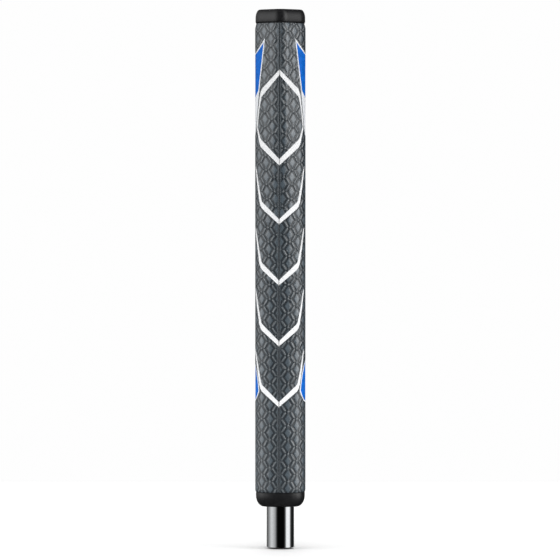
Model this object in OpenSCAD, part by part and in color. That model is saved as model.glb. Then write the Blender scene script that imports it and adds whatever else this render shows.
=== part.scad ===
// Putter grip fitted to the butt end of a steel shaft.
// The Z axis is the shaft's axis, with Z = 0 at the shaft's cut end and the butt at the top.
// The seam runs up the back, which faces -Y. The flat front faces +Y.

/* [Shaft] */
// Outside diameter of the shaft
shaft_d = 14.73; // [14.5:0.01:15]
// Thickness of the shaft's wall
shaft_wall = 0.6; // [0.4:0.05:0.9]
// Length of bare shaft below the grip
stub_length = 22; // [10:1:60]

/* [Grip] */
// Length of the grip from mouth to butt, with both caps
grip_length = 266.7; // [262:0.1:280]
// Width of the grip from side to side
grip_width = 27; // [26.4:0.1:27.6]
// Distance from the shaft's axis to the flat front
front_reach = 12; // [11.8:0.1:13]
// Distance from the shaft's axis to the back, at the mouth
back_reach_mouth = 11.3; // [11.3:0.1:12]
// Distance from the shaft's axis to the back, at the butt
back_reach_butt = 19.2; // [18:0.1:20.5]
// Height above the mouth where the back starts to swell
swell_start = 98; // [80:1:120]

/* [Section] */
// Radius of the two long front corners
front_r = 6; // [5:0.1:6.5]
// Radius of the two sides
side_r = 8.5; // [8:0.1:9]
// Radius of the back's ridge, at the mouth
ridge_r_mouth = 19.5; // [14:0.5:20]
// Radius of the back's ridge, at the butt
ridge_r_butt = 5.6; // [4.5:0.1:7]
// Slope of the back's flanks in degrees, at the mouth
flank_angle_mouth = 24; // [22:1:25]
// Slope of the back's flanks in degrees, at the butt
flank_angle_butt = 44; // [40:1:48]
// Sideways drift of the seam from the middle of the back, at the mouth
seam_drift_mouth = -0.8; // [-1:0.1:1]
// Sideways drift of the seam from the middle of the back, at the butt
seam_drift_butt = -0.4; // [-1:0.1:1]

/* [Layers] */
// Thickness of the grip tape between shaft and core
tape_t = 0.25; // [0.2:0.05:0.4]
// Thickness of the outer polyurethane skin
skin_t = 1; // [0.8:0.1:1.2]
// Thickness of the felt that backs the skin
felt_t = 0.6; // [0.4:0.1:0.8]
// Width of the glued seam where the skin's two edges meet
seam_w = 0.6; // [0.4:0.1:1]
// Thickness of each coat of paint in the marks
coat_t = 0.08; // [0.05:0.01:0.12]

/* [Caps] */
// Height of the rubber cap at the mouth
mouth_cap_h = 8; // [7:0.5:10]
// Height of the rubber cap at the butt, above the skin
butt_cap_h = 7.4; // [7:0.1:10]
// Length of the spigot that each cap pushes into the core
spigot_length = 8; // [5:0.5:12]
// Diameter of the air hole in the butt cap
vent_d = 2.6; // [2:0.1:4]

/* [Marks] */
// Distance between one chevron's tip and the next
chevron_pitch = 32.65; // [31:0.05:33]
// Height above the mouth of the lowest chevron's tip
chevron_base = 53.05; // [50:0.05:56]
// Height above the mouth of the peaked stripe's tip
peak_height = 234; // [233:0.1:236]
// Height above the mouth of the upper side panels' points
upper_panel_height = 250.6; // [249:0.1:251]
// Height above the mouth of the lower side panels' corners
lower_panel_height = 62.7; // [60:0.1:64]
// Width of the pale border round each side panel
border_w = 0.75; // [0.4:0.05:0.8]

/* [Hidden] */
$fn = 96;

// A cut reaches this far past the face it opens
over = 1;
// Running clearance of the tape and the spigots
slip = 0.03;
half_w = grip_width / 2;
shaft_r = shaft_d / 2;
tape_r = shaft_r + tape_t;
mouth_z = stub_length;
skin_z0 = mouth_z + mouth_cap_h;
butt_z = stub_length + grip_length;
skin_z1 = butt_z - butt_cap_h;
core_inset = skin_t + felt_t;
core_bore_r = tape_r + slip;
spigot_r = core_bore_r + 1;
seam_half = seam_w / 2;
// Facets along the ridge arc, each side arc and each front corner
ridge_steps = 5;
side_steps = 6;
corner_steps = 6;
// Distance from ring to ring where the back swells
ring_gap = 9;
// Coats of paint stand this far clear of what they lie on, so that no facet cuts them
coat_gap = 0.03;
// Insets of the first coat's two faces, and of the second coat's: both stand proud of the skin
base_coat = [-coat_gap - coat_t, -coat_gap];
top_coat = base_coat + [-1, -1] * (coat_gap + coat_t);
// Inset of the seam bead's crown
bead_inset = 0.05;
// Widest step between two stations across a painted mark
mark_step = 0.9;

// Share of the swell reached at height z, from 0 at the mouth to 1 at the butt
function swell(z) =
    let (t = min(1, max(0, (z - mouth_z - swell_start) / (butt_z - mouth_z - swell_start))))
    t * t * (3 - 2 * t);
function swelled(at_mouth, at_butt, z) = at_mouth + (at_butt - at_mouth) * swell(z);

// The half section is a ridge arc, a straight flank, a side arc, a straight side,
// a front corner arc and the straight front. These are its measures at height z.
function back_y(z) = -swelled(back_reach_mouth, back_reach_butt, z);
function ridge_r(z) = ridge_r_mouth + (ridge_r_butt - ridge_r_mouth) * sqrt(swell(z));
function flank_a(z) = swelled(flank_angle_mouth, flank_angle_butt, z);
function flank_x0(z) = ridge_r(z) * sin(flank_a(z));
function flank_x1(z) = half_w - side_r * (1 - sin(flank_a(z)));
function side_y(z) =
    let (a = flank_a(z))
    back_y(z) + ridge_r(z) * (1 - cos(a)) + (flank_x1(z) - flank_x0(z)) * tan(a) + side_r * cos(a);
function side_len(z) = front_reach - front_r - side_y(z);
function corner_len() = front_r * PI / 2;
function front_edge(z) = half_w + side_len(z) + corner_len();

// Slope of the surface in degrees at station q. Up to half_w a station is the distance
// sideways from the middle of the back, and beyond it the distance along the surface.
function slope(q, z) =
    q < flank_x0(z) ? asin(q / ridge_r(z)) :
    q < flank_x1(z) ? flank_a(z) :
    q < half_w ? asin(min(1, 1 - (half_w - q) / side_r)) :
    q < half_w + side_len(z) ? 90 :
    q < front_edge(z) ? 90 + (q - half_w - side_len(z)) / corner_len() * 90 : 180;

// Point on the outer surface at station q on the +X half
function face_xy(q, z) =
    let (a = slope(q, z), r = ridge_r(z))
    q < flank_x0(z) ? [q, back_y(z) + r * (1 - cos(a))] :
    q < flank_x1(z) ?
        [q, back_y(z) + r * (1 - cos(a)) + (q - flank_x0(z)) * tan(a)] :
    q < half_w ? [q, side_y(z) - side_r * cos(a)] :
    q < half_w + side_len(z) ? [half_w, side_y(z) + q - half_w] :
    q < front_edge(z) ?
        [half_w - front_r * (1 - sin(a)), front_reach - front_r * (1 + cos(a))] :
        [half_w - front_r - q + front_edge(z), front_reach];

// Point at signed station q and height z, inset by d below the outer surface
function skin_at(q, z, d) =
    let (p = face_xy(abs(q), z), a = slope(abs(q), z), side = q < 0 ? -1 : 1)
    [side * (p[0] - d * sin(a)), p[1] + d * cos(a), z];

// Stations round the +X half at height z, from the one after the ridge to the front's middle
function stations(z) =
    let (a = flank_a(z))
    [
        for (i = [1 : ridge_steps]) ridge_r(z) * sin(a * i / ridge_steps),
        flank_x1(z),
        for (i = [1 : side_steps]) half_w - side_r * (1 - sin(a + (90 - a) * i / side_steps)),
        half_w + side_len(z),
        for (i = [1 : corner_steps]) half_w + side_len(z) + corner_len() * i / corner_steps,
    ];
function reversed(list) = [for (i = [len(list) - 1 : -1 : 0]) list[i]];

// Closed section ring at height z, inset by d
function closed_ring(z, d) =
    let (q = stations(z))
    [
        skin_at(0, z, d),
        for (v = q) skin_at(v, z, d),
        for (v = reversed(q)) skin_at(-v, z, d),
    ];

// Open sheet ring at height z between two insets, with a gap at the seam
function sheet_ring(z, d_out, d_in) =
    let (q = stations(z), s = seam_drift(z))
    [
        skin_at(s + seam_half, z, d_out),
        for (v = q) skin_at(v, z, d_out),
        for (v = reversed(q)) skin_at(-v, z, d_out),
        skin_at(s - seam_half, z, d_out),
        skin_at(s - seam_half, z, d_in),
        for (v = q) skin_at(-v, z, d_in),
        for (v = reversed(q)) skin_at(v, z, d_in),
        skin_at(s + seam_half, z, d_in),
    ];
function seam_drift(z) = swelled(seam_drift_mouth, seam_drift_butt, z);

// Heights of the rings between z0 and z1: the two ends and, where the back swells, steps
function ring_heights(z0, z1) =
    let (first = max(z0, mouth_z + swell_start), n = ceil((z1 - first) / ring_gap))
    [
        if (z0 < first) z0,
        for (i = [0 : n]) first + (z1 - first) * i / n,
    ];

// The skin's outer face is drawn in at both ends, over these heights and by these insets
mouth_roll = 1;
mouth_inset = 0.25;
butt_roll = 2.7;
butt_inset = 0.75;
roll_power = 1.3;
function roll_share(away, height) = pow(max(0, 1 - away / height), roll_power);
function roll_inset(z) =
    mouth_inset * roll_share(z - skin_z0, mouth_roll) +
    butt_inset * roll_share(skin_z1 - z, butt_roll);
function skin_heights() =
    let (roll = [0, 0.2, 0.5, 1])
    [
        for (t = roll) skin_z0 + t * mouth_roll,
        for (z = ring_heights(skin_z0, skin_z1))
            if (z > skin_z0 + mouth_roll && z < skin_z1 - butt_roll) z,
        for (t = reversed(roll)) skin_z1 - t * butt_roll,
    ];

// Solid through a stack of rings, each with the same number of points. A sheet's rings run
// along its outer face and back along its inner one, so its two ends are closed in strips.
module loft(rings, is_sheet = false) {
    n = len(rings[0]);
    last = len(rings) - 1;
    points = [for (ring = rings) each ring];
    strips = [for (i = [0 : n / 2 - 2]) each [[i, i + 1, n - 1 - i], [i + 1, n - 2 - i, n - 1 - i]]];
    ends = is_sheet ? strips : [[for (i = [0 : n - 1]) i]];
    faces = [
        each ends,
        for (face = ends) [for (i = reversed(face)) last * n + i],
        for (j = [0 : last - 1], i = [0 : n - 1])
            let (a = j * n + i, b = j * n + (i + 1) % n)
            each [[a, a + n, b + n], [a, b + n, b]],
    ];
    polyhedron(points, faces);
}

// All the marks lean a little towards +X, as a share of the station
mark_lean = 0.033;
// Thin solid that follows the surface between two edges, given as [station, height] tables,
// from the first station to the last. A coat is the insets of its outer and inner faces.
function mark_stations(from, to) =
    let (n = ceil((to - from) / mark_step))
    [for (i = [0 : n]) from + (to - from) * i / n];
module surface_mark(side, from, to, bottom, top, coat = base_coat, steps = 1) {
    base = mark_stations(from, to);
    spread = 1 + side * mark_lean;
    q_list = side > 0 ? base : [for (q = reversed(base)) -q];
    loft([
        for (q = q_list)
            let (
                lo = lookup(abs(q), bottom),
                hi = lookup(abs(q), top),
                zs = [for (k = [0 : steps]) lo + (hi - lo) * k / steps]
            )
            [
                for (z = zs) skin_at(q * spread + seam_drift(z), z, coat[0]),
                for (z = reversed(zs)) skin_at(q * spread + seam_drift(z), z, coat[1]),
            ]
    ], is_sheet = true);
}
function raised(table, z) = [for (p = table) [p[0], p[1] + z]];

// Edges of a chevron, with heights from its outer tip: two bands that fall to the seam,
// and an arm that runs up from each outer corner and thins to nothing
chevron_end = 13;
chevron_low = [
    [0, 0.85], [9.3, 9.05], [10.2, 10.5], [10.85, 12.6], [11.15, 15], [11.6, 18.2],
    [12.1, 22], [12.5, 26], [chevron_end, 31.4]
];
chevron_high = [
    [0, 3.6], [9.3, 12.7], [9.8, 13.9], [10.3, 16.7], [10.8, 19.2], [11.35, 22.4],
    [11.9, 26], [12.4, 29.4], [chevron_end, 32]
];
module chevron(index) {
    z = chevron_z(index);
    color("white")
    for (side = [-1, 1]) {
        surface_mark(side, seam_half, chevron_end, raised(chevron_low, z),
            raised(chevron_high, z));
    }
}
// Height of a chevron's outer tip: chevron 1 is the topmost of five
function chevron_z(index) = mouth_z + chevron_base + (5 - index) * chevron_pitch;

// Edges of the topmost chevron, whose arms meet those of the peaked stripe
joined_end = 12.5;
joined_z = 20.2;
joined_low = [[0, -0.3], [9.9, 9.15], [10.5, 10.15], [11.1, 12.25], [joined_end, joined_z - 0.25]];
joined_high = [
    [0, 3], [9.9, 13.35], [10.5, 14.6], [11.1, 16.6], [12, joined_z], [joined_end, joined_z]
];
module joined_chevron() {
    z = chevron_z(1);
    color("white")
    for (side = [-1, 1]) {
        surface_mark(side, seam_half, joined_end, raised(joined_low, z),
            raised(joined_high, z));
    }
}

// Edges of the peaked stripe, with heights from its outer tip
peak_fall = mouth_z + peak_height - chevron_z(1) - joined_z - 0.1;
peak_low = [
    [0, -2.5], [9.9, -14], [10.4, -16.5], [11.15, -20.8], [12, -peak_fall],
    [joined_end, -peak_fall]
];
peak_high = [
    [0, 0.4], [9.8, -9.8], [10.6, -12.3], [11.1, -15.6], [12.2, -25.4],
    [joined_end, 0.3 - peak_fall]
];
module peak_stripe() {
    z = mouth_z + peak_height;
    color("white")
    for (side = [-1, 1]) {
        surface_mark(side, seam_half, joined_end, raised(peak_low, z), raised(peak_high, z),
            steps = 2);
    }
}

// The side panels are mirrored about the middle of the grip's side
function side_mid(z) = half_w + side_len(z) / 2;
function mirrored_about(mid, table) = [
    each table,
    for (p = reversed(table)) if (p[0] < mid) [2 * mid - p[0], p[1]],
];

// Edges of an upper side panel, with heights from its two points. The pale base has a tail
// that runs down the side below the blue. The blue starts a few border widths further in.
upper_cut = 1.7;
lower_cut = 1.1;
upper_from = 8.15;
upper_blue_from = upper_from + upper_cut * border_w;
upper_mid = side_mid(mouth_z + upper_panel_height);
upper_low = [
    [upper_from, -0.4], [9.15, -9.5], [10, -17], [11.25, -27.5], [13.4, -31.8], [upper_mid, -47]
];
upper_tail = [
    [upper_from, -0.4], [9.15, -9.5], [10, -17], [11.25, -27.5], [12.1, -38], [12.8, -46],
    [13.2, -51], [upper_mid, -56]
];
upper_high = [[upper_from, 0.5], [12.9, -6.6], [upper_mid, -15]];
// Edges of a lower side panel, with heights from its two inner corners
lower_from = 10.9;
lower_blue_from = lower_from + lower_cut * border_w;
lower_mid = side_mid(mouth_z + lower_panel_height);
lower_low = [[lower_from, -0.4], [11.8, -3.1], [12.9, -5.6], [lower_mid, -11]];
lower_high = [[lower_from, 0.4], [11.4, 5], [12.2, 9.8], [13.1, 14], [lower_mid, 31]];

// Heights at station q of an edge moved square to itself by the border's width, up or down
function moved_up(table, q) = max([
    for (i = [-4 : 4]) let (d = border_w * i / 4) lookup(q + d, table) + sqrt(border_w ^ 2 - d ^ 2)
]);
function moved_down(table, q) = min([
    for (i = [-4 : 4]) let (d = border_w * i / 4) lookup(q + d, table) - sqrt(border_w ^ 2 - d ^ 2)
]);

module pale_coat(side, z, from, mid, low, high) {
    color("aliceblue")
    surface_mark(side, from, 2 * mid - from, mirrored_about(mid, raised(low, z)),
        mirrored_about(mid, raised(high, z)), steps = 4);
}
module blue_coat(side, z, from, mid, low, high) {
    full_low = mirrored_about(mid, raised(low, z));
    full_high = mirrored_about(mid, raised(high, z));
    q_list = mark_stations(from, 2 * mid - from);
    color("royalblue")
    surface_mark(side, from, 2 * mid - from, [for (q = q_list) [q, moved_up(full_low, q)]],
        [for (q = q_list) [q, moved_down(full_high, q)]], top_coat, 3);
}
module upper_base(side) {
    pale_coat(side, mouth_z + upper_panel_height, upper_from, upper_mid, upper_tail, upper_high);
}
module upper_blue(side) {
    blue_coat(side, mouth_z + upper_panel_height, upper_blue_from, upper_mid, upper_low,
        upper_high);
}
module lower_base(side) {
    pale_coat(side, mouth_z + lower_panel_height, lower_from, lower_mid, lower_low, lower_high);
}
module lower_blue(side) {
    blue_coat(side, mouth_z + lower_panel_height, lower_blue_from, lower_mid, lower_low,
        lower_high);
}

module shaft_tube() {
    color("silver")
    difference() {
        cylinder(h = skin_z1, r = shaft_r);
        translate([0, 0, -over])
        cylinder(h = skin_z1 + 2 * over, r = shaft_r - shaft_wall);
    }
}

module grip_tape() {
    color("tan")
    translate([0, 0, mouth_z + over])
    difference() {
        cylinder(h = skin_z1 - mouth_z - over, r = tape_r);
        translate([0, 0, -over])
        cylinder(h = skin_z1 - mouth_z + over, r = shaft_r);
    }
}

module foam_core() {
    color("dimgray")
    difference() {
        loft([for (z = ring_heights(skin_z0, skin_z1)) closed_ring(z, core_inset)]);
        translate([0, 0, skin_z0 - over])
        cylinder(h = skin_z1 - skin_z0 + 2 * over, r = core_bore_r);
        for (z = [skin_z0 - over, skin_z1 - spigot_length - slip]) {
            translate([0, 0, z])
            cylinder(h = spigot_length + slip + over, r = spigot_r + slip);
        }
    }
}

module felt_backing() {
    color("gainsboro")
    loft([for (z = ring_heights(skin_z0, skin_z1)) sheet_ring(z, skin_t, core_inset)],
        is_sheet = true);
}

module polyurethane_skin() {
    color("#55585c")
    loft([for (z = skin_heights()) sheet_ring(z, roll_inset(z), skin_t)], is_sheet = true);
}

module seam_bead() {
    color("#3c4043")
    loft([
        for (z = skin_heights())
            let (s = seam_drift(z), d = roll_inset(z) + bead_inset)
            [
                skin_at(s - seam_half, z, d),
                skin_at(s, z, d),
                skin_at(s + seam_half, z, d),
                skin_at(s + seam_half, z, core_inset),
                skin_at(s, z, core_inset),
                skin_at(s - seam_half, z, core_inset),
            ]
    ], is_sheet = true);
}

// Rubber end cap: rings whose inset follows a quarter of an ellipse, from the flat end
// face at z_end to the full section, then the joint with the skin at z_joint. Its measures
// are the rounding's height and width, the inset of its side and the inset at the joint.
edge_steps = 7;
butt_edge = [4.7, 2.3, 0.2, 1];
mouth_edge = [6, 4.2, 0.35, 0.8];
module cap_body(z_end, z_joint, edge) {
    away = z_end > z_joint ? 1 : -1;
    edge_h = edge[0];
    edge_w = edge[1];
    lip_inset = edge[2];
    joint_inset = edge[3];
    z_full = z_end - away * edge_h;
    z_lip = z_joint + away * over;
    rings = [
        [z_joint, joint_inset],
        [z_lip, lip_inset],
        for (i = [0 : edge_steps])
            let (a = 90 * i / edge_steps)
            [z_full + away * edge_h * sin(a), lip_inset + edge_w * (1 - cos(a))],
    ];
    ordered = away > 0 ? rings : reversed(rings);
    loft([for (r = ordered) closed_ring(r[0], r[1])]);
}

module butt_cap() {
    color("#1f2021")
    difference() {
        union() {
            cap_body(butt_z, skin_z1, butt_edge);
            translate([0, 0, skin_z1 - spigot_length])
            cylinder(h = spigot_length + over, r = spigot_r);
        }
        translate([0, 0, skin_z1 - spigot_length - over])
        cylinder(h = spigot_length + over, r = core_bore_r);
        translate([0, 0, skin_z1 - over])
        cylinder(h = butt_cap_h + 2 * over, r = vent_d / 2);
    }
}

module mouth_cap() {
    color("#1f2021")
    difference() {
        union() {
            cap_body(mouth_z, skin_z0, mouth_edge);
            translate([0, 0, skin_z0 - over])
            cylinder(h = spigot_length + over, r = spigot_r);
        }
        translate([0, 0, mouth_z - over])
        cylinder(h = mouth_cap_h + spigot_length + 2 * over, r = shaft_r + slip);
        translate([0, 0, mouth_z + over])
        cylinder(h = mouth_cap_h + spigot_length + over, r = core_bore_r);
    }
}

shaft_tube();
grip_tape();
foam_core();
felt_backing();
polyurethane_skin();
seam_bead();
butt_cap();
mouth_cap();
peak_stripe();
joined_chevron();  // chevron_1
chevron(2);  // chevron_2
chevron(3);  // chevron_3
chevron(4);  // chevron_4
chevron(5);  // chevron_5
upper_base(-1);  // upper_panel_base_left
upper_base(1);  // upper_panel_base_right
upper_blue(-1);  // upper_panel_blue_left
upper_blue(1);  // upper_panel_blue_right
lower_base(-1);  // lower_panel_base_left
lower_base(1);  // lower_panel_base_right
lower_blue(-1);  // lower_panel_blue_left
lower_blue(1);  // lower_panel_blue_right
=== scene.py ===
"""Looks of a putter grip on the end of a chromed shaft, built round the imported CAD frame.

Shapes are computed in millimetres, with the same section law as the CAD source, and are
scaled to metres when a mesh is made. The seam runs up the back, which faces -Y.
"""

import math

import bpy
import numpy as np
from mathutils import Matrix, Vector
from mathutils.geometry import delaunay_2d_cdt


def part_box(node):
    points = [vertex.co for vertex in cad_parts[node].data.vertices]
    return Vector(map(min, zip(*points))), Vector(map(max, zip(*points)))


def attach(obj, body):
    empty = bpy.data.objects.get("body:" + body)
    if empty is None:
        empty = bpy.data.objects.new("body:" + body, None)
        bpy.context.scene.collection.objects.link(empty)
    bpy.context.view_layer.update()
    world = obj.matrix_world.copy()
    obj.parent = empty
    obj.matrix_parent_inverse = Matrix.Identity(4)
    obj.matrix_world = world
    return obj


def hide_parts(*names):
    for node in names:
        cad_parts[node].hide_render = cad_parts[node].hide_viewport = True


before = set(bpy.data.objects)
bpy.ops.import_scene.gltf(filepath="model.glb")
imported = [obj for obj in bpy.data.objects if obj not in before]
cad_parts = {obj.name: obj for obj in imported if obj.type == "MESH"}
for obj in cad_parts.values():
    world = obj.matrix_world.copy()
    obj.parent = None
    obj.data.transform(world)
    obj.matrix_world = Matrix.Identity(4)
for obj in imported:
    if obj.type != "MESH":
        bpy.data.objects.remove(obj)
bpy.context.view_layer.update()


def box_mm(node):
    """Lowest and highest corner of a CAD node, in millimetres."""
    return [np.array(corner) * 1000 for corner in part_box(node)]


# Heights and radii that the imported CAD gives
MOUTH_Z = box_mm("mouth_cap")[0][2]
BUTT_Z = box_mm("butt_cap")[1][2]
SKIN_Z0, SKIN_Z1 = box_mm("polyurethane_skin")[0][2], box_mm("polyurethane_skin")[1][2]
SPIGOT_Z0, SPIGOT_Z1 = box_mm("butt_cap")[0][2], box_mm("mouth_cap")[1][2]
SHAFT_R = box_mm("shaft_tube")[1][0]
SHAFT_TOP = box_mm("shaft_tube")[1][2]

# The section's measures, as the CAD source sets them
HALF_W = 13.5
FRONT_REACH = 12.0
SWELL_START = 98.0
BACK_REACH = (11.3, 19.2)
RIDGE_R = (19.5, 5.6)
FLANK_A = (math.radians(24), math.radians(44))
SEAM_DRIFT = (-0.8, -0.4)
FRONT_R = 6.0
SIDE_R = 8.5
SEAM_HALF = 0.3
MOUTH_ROLL, MOUTH_INSET = 1.0, 0.25
BUTT_ROLL, BUTT_INSET = 2.7, 0.75
ROLL_POWER = 1.3
SKIN_T = 1.0
CORE_INSET = 1.6
SHAFT_WALL = 0.6
SPIGOT_R = 8.645
BORE_R = 7.645
VENT_R = 1.3


# ---- the section law


def columns(*values):
    """Arrays or numbers side by side, as the coordinates of points."""
    return np.stack(np.broadcast_arrays(*values), axis=-1)


def soft_step(t):
    """Smooth rise from 0 at t = 0 to 1 at t = 1."""
    t = np.clip(t, 0, 1)
    return t * t * (3 - 2 * t)


def swell(z):
    """Share of the swell reached at height z, from 0 at the mouth to 1 at the butt."""
    return soft_step((z - MOUTH_Z - SWELL_START) / (BUTT_Z - MOUTH_Z - SWELL_START))


def swelled(pair, z):
    """Value at height z of a measure given as its (mouth, butt) pair."""
    return pair[0] + (pair[1] - pair[0]) * swell(z)


def section(z):
    """Measures of the section at heights z, and the arc lengths of its six stretches."""
    a, back = swelled(FLANK_A, z), -swelled(BACK_REACH, z)
    r = RIDGE_R[0] + (RIDGE_R[1] - RIDGE_R[0]) * np.sqrt(swell(z))
    x0, x1 = r * np.sin(a), HALF_W - SIDE_R * (1 - np.sin(a))
    ridge_y = back + r * (1 - np.cos(a))
    side_y = ridge_y + (x1 - x0) * np.tan(a) + SIDE_R * np.cos(a)
    lengths = [
        r * a,
        (x1 - x0) / np.cos(a),
        SIDE_R * (math.pi / 2 - a),
        FRONT_REACH - FRONT_R - side_y,
        FRONT_R * math.pi / 2 + 0 * a,
        HALF_W - FRONT_R + 0 * a,
    ]
    ends = np.cumsum(lengths, axis=0)
    return a, r, back, x0, x1, ridge_y, side_y, ends


def half_girth(z):
    """Half the way round the section at height z."""
    return section(z)[-1][-1]


def drift(z):
    """Sideways place of the seam at height z."""
    return swelled(SEAM_DRIFT, z)


def arc_of_station(q, z):
    """Arc length from the back's middle to a station q.

    A station counts sideways distance up to the side, and arc length beyond it.
    """
    a, r, _, x0, x1, _, _, ends = section(z)
    ridge = r * np.arcsin(np.clip(q / r, 0, 1))
    flank = ends[0] + (q - x0) / np.cos(a)
    turn = np.arcsin(np.clip(1 - (HALF_W - q) / SIDE_R, -1, 1))
    side = ends[1] + SIDE_R * (turn - a)
    straight = ends[2] + q - HALF_W
    return np.select([q < x0, q < x1, q < HALF_W], [ridge, flank, side], straight)


def by_stretch(s, ends, values):
    """Picks at each arc length s the value for its stretch of the section."""
    return np.select([s < end for end in ends[:-1]], values[:-1], values[-1])


def around(arc, z, inset):
    """Points by signed arc length from the back's middle and height, sunk by inset."""
    a, r, back, x0, _, ridge_y, side_y, ends = section(z)
    s, sign = np.abs(arc), np.where(arc < 0, -1.0, 1.0)
    side, corner = a + (s - ends[1]) / SIDE_R, math.pi / 2 + (s - ends[3]) / FRONT_R
    phi = by_stretch(s, ends, [s / r, a, side, math.pi / 2, corner, math.pi])
    across = [
        r * np.sin(phi),
        x0 + (s - ends[0]) * np.cos(a),
        HALF_W - SIDE_R * (1 - np.sin(phi)),
        HALF_W,
        HALF_W - FRONT_R * (1 - np.sin(phi)),
        HALF_W - FRONT_R - (s - ends[4]),
    ]
    forward = [
        back + r * (1 - np.cos(phi)),
        ridge_y + (s - ends[0]) * np.sin(a),
        side_y - SIDE_R * np.cos(phi),
        side_y + s - ends[2],
        FRONT_REACH - FRONT_R * (1 + np.cos(phi)),
        FRONT_REACH,
    ]
    x = by_stretch(s, ends, across) - inset * np.sin(phi)
    y = by_stretch(s, ends, forward) + inset * np.cos(phi)
    return columns(sign * x, y, z)


def signed_arc(w, z):
    """Signed arc from the back's middle for w, the arc from the front's middle, + towards +X."""
    girth = half_girth(z)
    return np.where(w >= 0, girth - w, -girth - w)


def end_roll(z):
    """Inset of the skin near its two ends, where it is drawn in."""
    mouth = np.clip(1 - (z - SKIN_Z0) / MOUTH_ROLL, 0, 1) ** ROLL_POWER
    butt = np.clip(1 - (SKIN_Z1 - z) / BUTT_ROLL, 0, 1) ** ROLL_POWER
    return MOUTH_INSET * mouth + BUTT_INSET * butt


# ---- meshes


def in_scene(name, data):
    """New object in the scene that shows a mesh, a light or a camera."""
    obj = bpy.data.objects.new(name, data)
    bpy.context.scene.collection.objects.link(obj)
    return obj


def edge_keys(edges, size):
    """One number for each directed edge between points numbered below size."""
    return edges[:, 0] * size + edges[:, 1]


def make_mesh(name, points, faces, material, sharp, attributes=None):
    """Object of that name from points in millimetres, smooth but for the sharp edges."""
    mesh = bpy.data.meshes.new(name)
    mesh.from_pydata((np.asarray(points) / 1000).tolist(), [], faces)
    mesh.polygons.foreach_set("use_smooth", [True] * len(mesh.polygons))
    ends, size = np.zeros(len(mesh.edges) * 2, np.int32), len(points)
    mesh.edges.foreach_get("vertices", ends)
    ends = np.sort(ends.reshape(-1, 2), axis=1).astype(np.int64)
    wanted = np.sort(np.asarray(sharp), axis=1).astype(np.int64)
    flags = np.isin(edge_keys(ends, size), edge_keys(wanted, size))
    mesh.attributes.new("sharp_edge", "BOOLEAN", "EDGE").data.foreach_set("value", flags)
    for label, values in (attributes or {}).items():
        layer = mesh.attributes.new(label, "FLOAT", "POINT")
        layer.data.foreach_set("value", np.asarray(values, np.float32))
    mesh.materials.append(material)
    mesh.update()
    return in_scene(name, mesh)


def place(obj, node):
    """The piece rides on the part's one body and stands for that CAD node."""
    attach(obj, "root")
    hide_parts(node)


def ring_faces(n, count, joined):
    """Quads between each ring of n points and the next, and from last to first if joined."""
    faces = []
    for j in range(count if joined else count - 1):
        this, following = j * n, (j + 1) % count * n
        for i in range(n):
            k = (i + 1) % n
            faces.append([this + i, this + k, following + k, following + i])
    return faces


def ring_stack(name, rings, material, sharp_rings):
    """Closed body through rings of equally many points, the last joined to the first."""
    n = len(rings[0])
    sharp = [[j * n + i, j * n + (i + 1) % n] for j in sharp_rings for i in range(n)]
    faces = ring_faces(n, len(rings), True)
    return make_mesh(name, np.concatenate(rings), faces, material, sharp)


# ---- materials


# Texture scale, in cells per metre along each axis, that makes one cell a millimetre
PER_MM = (1000, 1000, 1000)


def feed(socket, value):
    """Links a socket to the one that feeds it, or sets its value."""
    if isinstance(value, bpy.types.NodeSocket):
        socket.id_data.links.new(value, socket)
    else:
        socket.default_value = value


def add(tree, kind, **values):
    """Adds a node. The values set its properties, or else feed its inputs, by name."""
    node = tree.nodes.new(kind)
    for key, value in values.items():
        if hasattr(node, key):
            setattr(node, key, value)
        else:
            feed(node.inputs[key.replace("_", " ")], value)
    return node


def new_material(name):
    """Node material and its node tree."""
    material = bpy.data.materials.new(name)
    material.use_nodes = True
    return material, material.node_tree


def set_surface(tree, **values):
    """Feeds the inputs of a material's surface shader, by name."""
    for key, value in values.items():
        feed(tree.nodes["Principled BSDF"].inputs[key.replace("_", " ")], value)


def object_points(tree, scale=PER_MM):
    """Object coordinates times a scale."""
    where = add(tree, "ShaderNodeTexCoord").outputs["Object"]
    return add(tree, "ShaderNodeMapping", Vector=where, Scale=scale).outputs["Vector"]


def ramp(tree, source, stops):
    """Colour ramp fed by a socket. Stops are (position, grey or colour)."""
    node = add(tree, "ShaderNodeValToRGB", Fac=source)
    elements = node.color_ramp.elements
    while len(elements) < len(stops):
        elements.new(0.5)
    for element, (at, value) in zip(elements, stops):
        element.position = at
        colour = (value,) * 3 if isinstance(value, (int, float)) else value
        element.color = (*colour, 1)
    return node.outputs["Color"]


def mixed(tree, kind, factor, a, b):
    """Mix of two colours. Each of factor, a and b is a socket or a value."""
    node = add(tree, "ShaderNodeMix", data_type="RGBA", blend_type=kind)
    for index, value in ((0, factor), (6, a), (7, b)):
        feed(node.inputs[index], (*value, 1) if isinstance(value, tuple) else value)
    return node.outputs[2]


def bumped(tree, *layers):
    """Normal from a chain of bumps, given as (height socket, distance, strength)."""
    values = {}
    for height, distance, strength in layers:
        values.update(Height=height, Distance=distance, Strength=strength)
        values["Normal"] = add(tree, "ShaderNodeBump", **values).outputs["Normal"]
    return values["Normal"]


def noise(tree, points, scale, detail=4.0, roughness=0.55):
    """Noise texture's grey at those points."""
    values = {"Vector": points, "Scale": scale, "Detail": detail, "Roughness": roughness}
    return add(tree, "ShaderNodeTexNoise", **values).outputs["Fac"]


def share_of(tree, name):
    """Grey that a mesh attribute holds."""
    return add(tree, "ShaderNodeAttribute", attribute_name=name).outputs["Fac"]


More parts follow.
